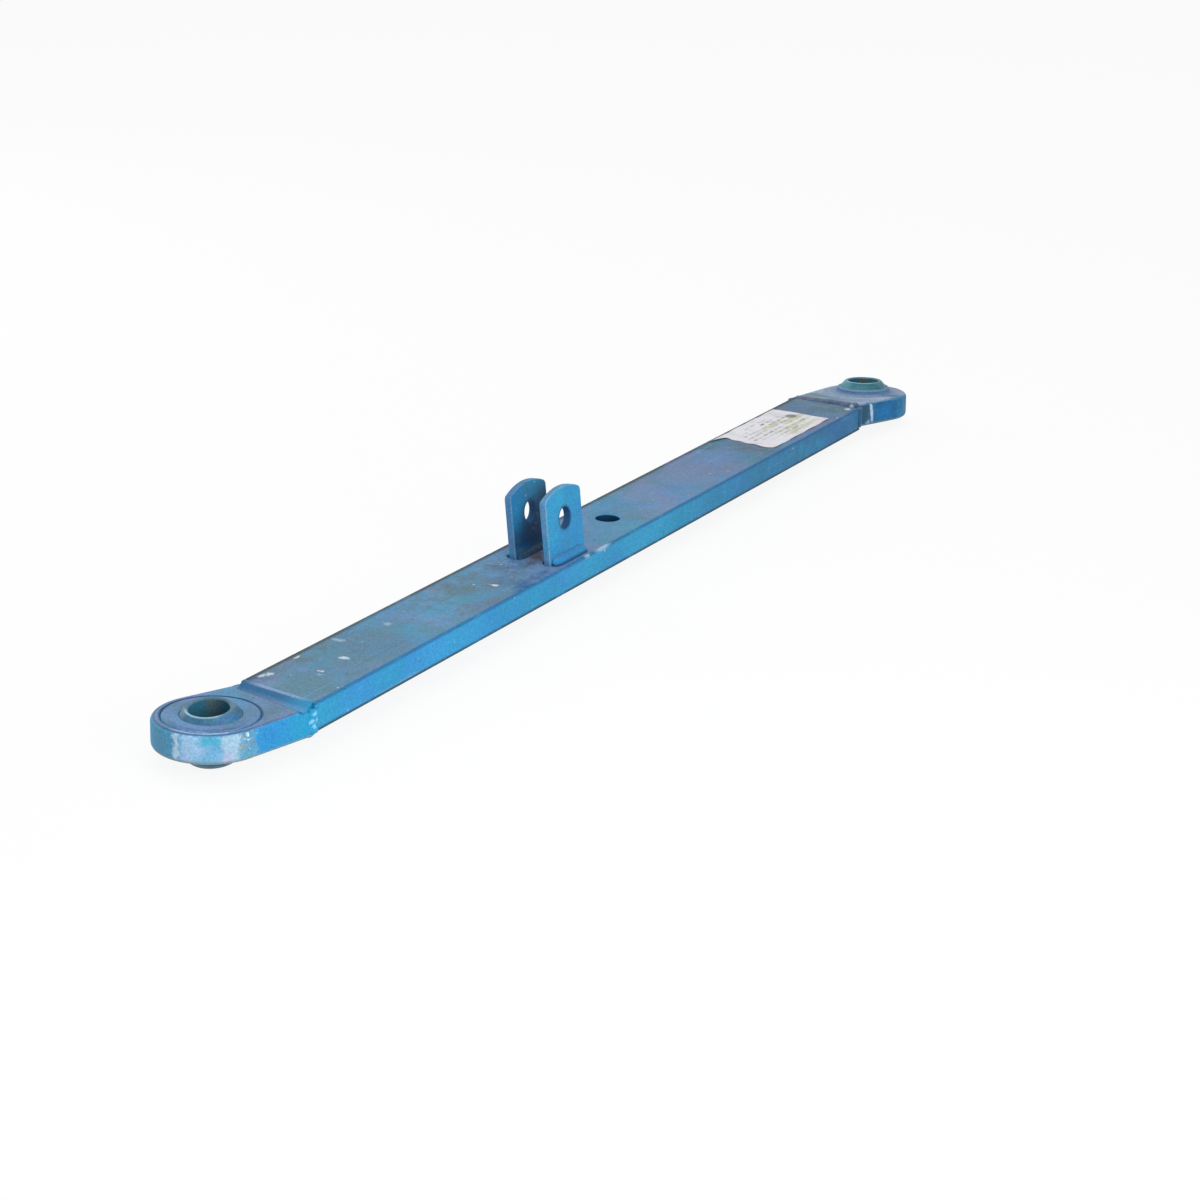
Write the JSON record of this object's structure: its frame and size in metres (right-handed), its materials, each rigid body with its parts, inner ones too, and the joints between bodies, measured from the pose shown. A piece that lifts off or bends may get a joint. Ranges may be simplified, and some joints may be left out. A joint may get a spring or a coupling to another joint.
{
  "type": "tractor lower link arm",
  "caption": "Flat steel lower link arm with a forged swivel ball end welded on each end, a two-ear bracket on top and a pin hole through the bar.",
  "frame": {"origin": "centre of the front swivel ball, on its bore's axis", "axes": "+X along the bar from the front ball to the rear ball, +Y to the left, +Z square to the bar's top, out of the side that carries the ears"},
  "size_m": [1.1047, 0.1107, 0.0956],
  "materials": {
    "paint_bar": "worn satin blue paint on rolled flat bar",
    "paint_forging": "worn satin blue paint on a forging",
    "paint_ring": "worn satin blue paint",
    "paint_plate": "satin blue paint on plate",
    "ball_steel": "thin blue paint over hardened steel",
    "weld_metal": "blue paint over rippled weld metal",
    "label_paper": "plain paper label"
  },
  "bodies": {
    "arm": {"arm_bar": "paint_bar", "front_eye": "paint_forging", "rear_eye": "paint_forging", "front_retaining_ring": "paint_ring", "rear_retaining_ring": "paint_ring", "left_ear": "paint_plate", "right_ear": "paint_plate", "paper_label": "label_paper", "front_weld_top": "weld_metal", "front_weld_bottom": "weld_metal", "front_weld_left": "weld_metal", "front_weld_right": "weld_metal", "rear_weld_top": "weld_metal", "rear_weld_bottom": "weld_metal", "rear_weld_left": "weld_metal", "rear_weld_right": "weld_metal", "left_ear_outer_weld": "weld_metal", "left_ear_inner_weld": "weld_metal", "right_ear_inner_weld": "weld_metal", "right_ear_outer_weld": "weld_metal"},
    "front_swivel_ball": {"front_ball": "ball_steel"},
    "rear_swivel_ball": {"rear_ball": "ball_steel"}
  },
  "joints": [
    {"name": "front_ball_swivel", "type": "hinge", "parent": "arm", "child": "front_swivel_ball", "pos_m": [0, 0, 0], "axis": [0, 1, 0], "range_deg": [-9, 21]},
    {"name": "rear_ball_swivel", "type": "hinge", "parent": "arm", "child": "rear_swivel_ball", "pos_m": [1.02207, -0.02785, 0.00573], "axis": [-0.0032, 0.9986, -0.0522], "range_deg": [-15, 15]}
  ]
}
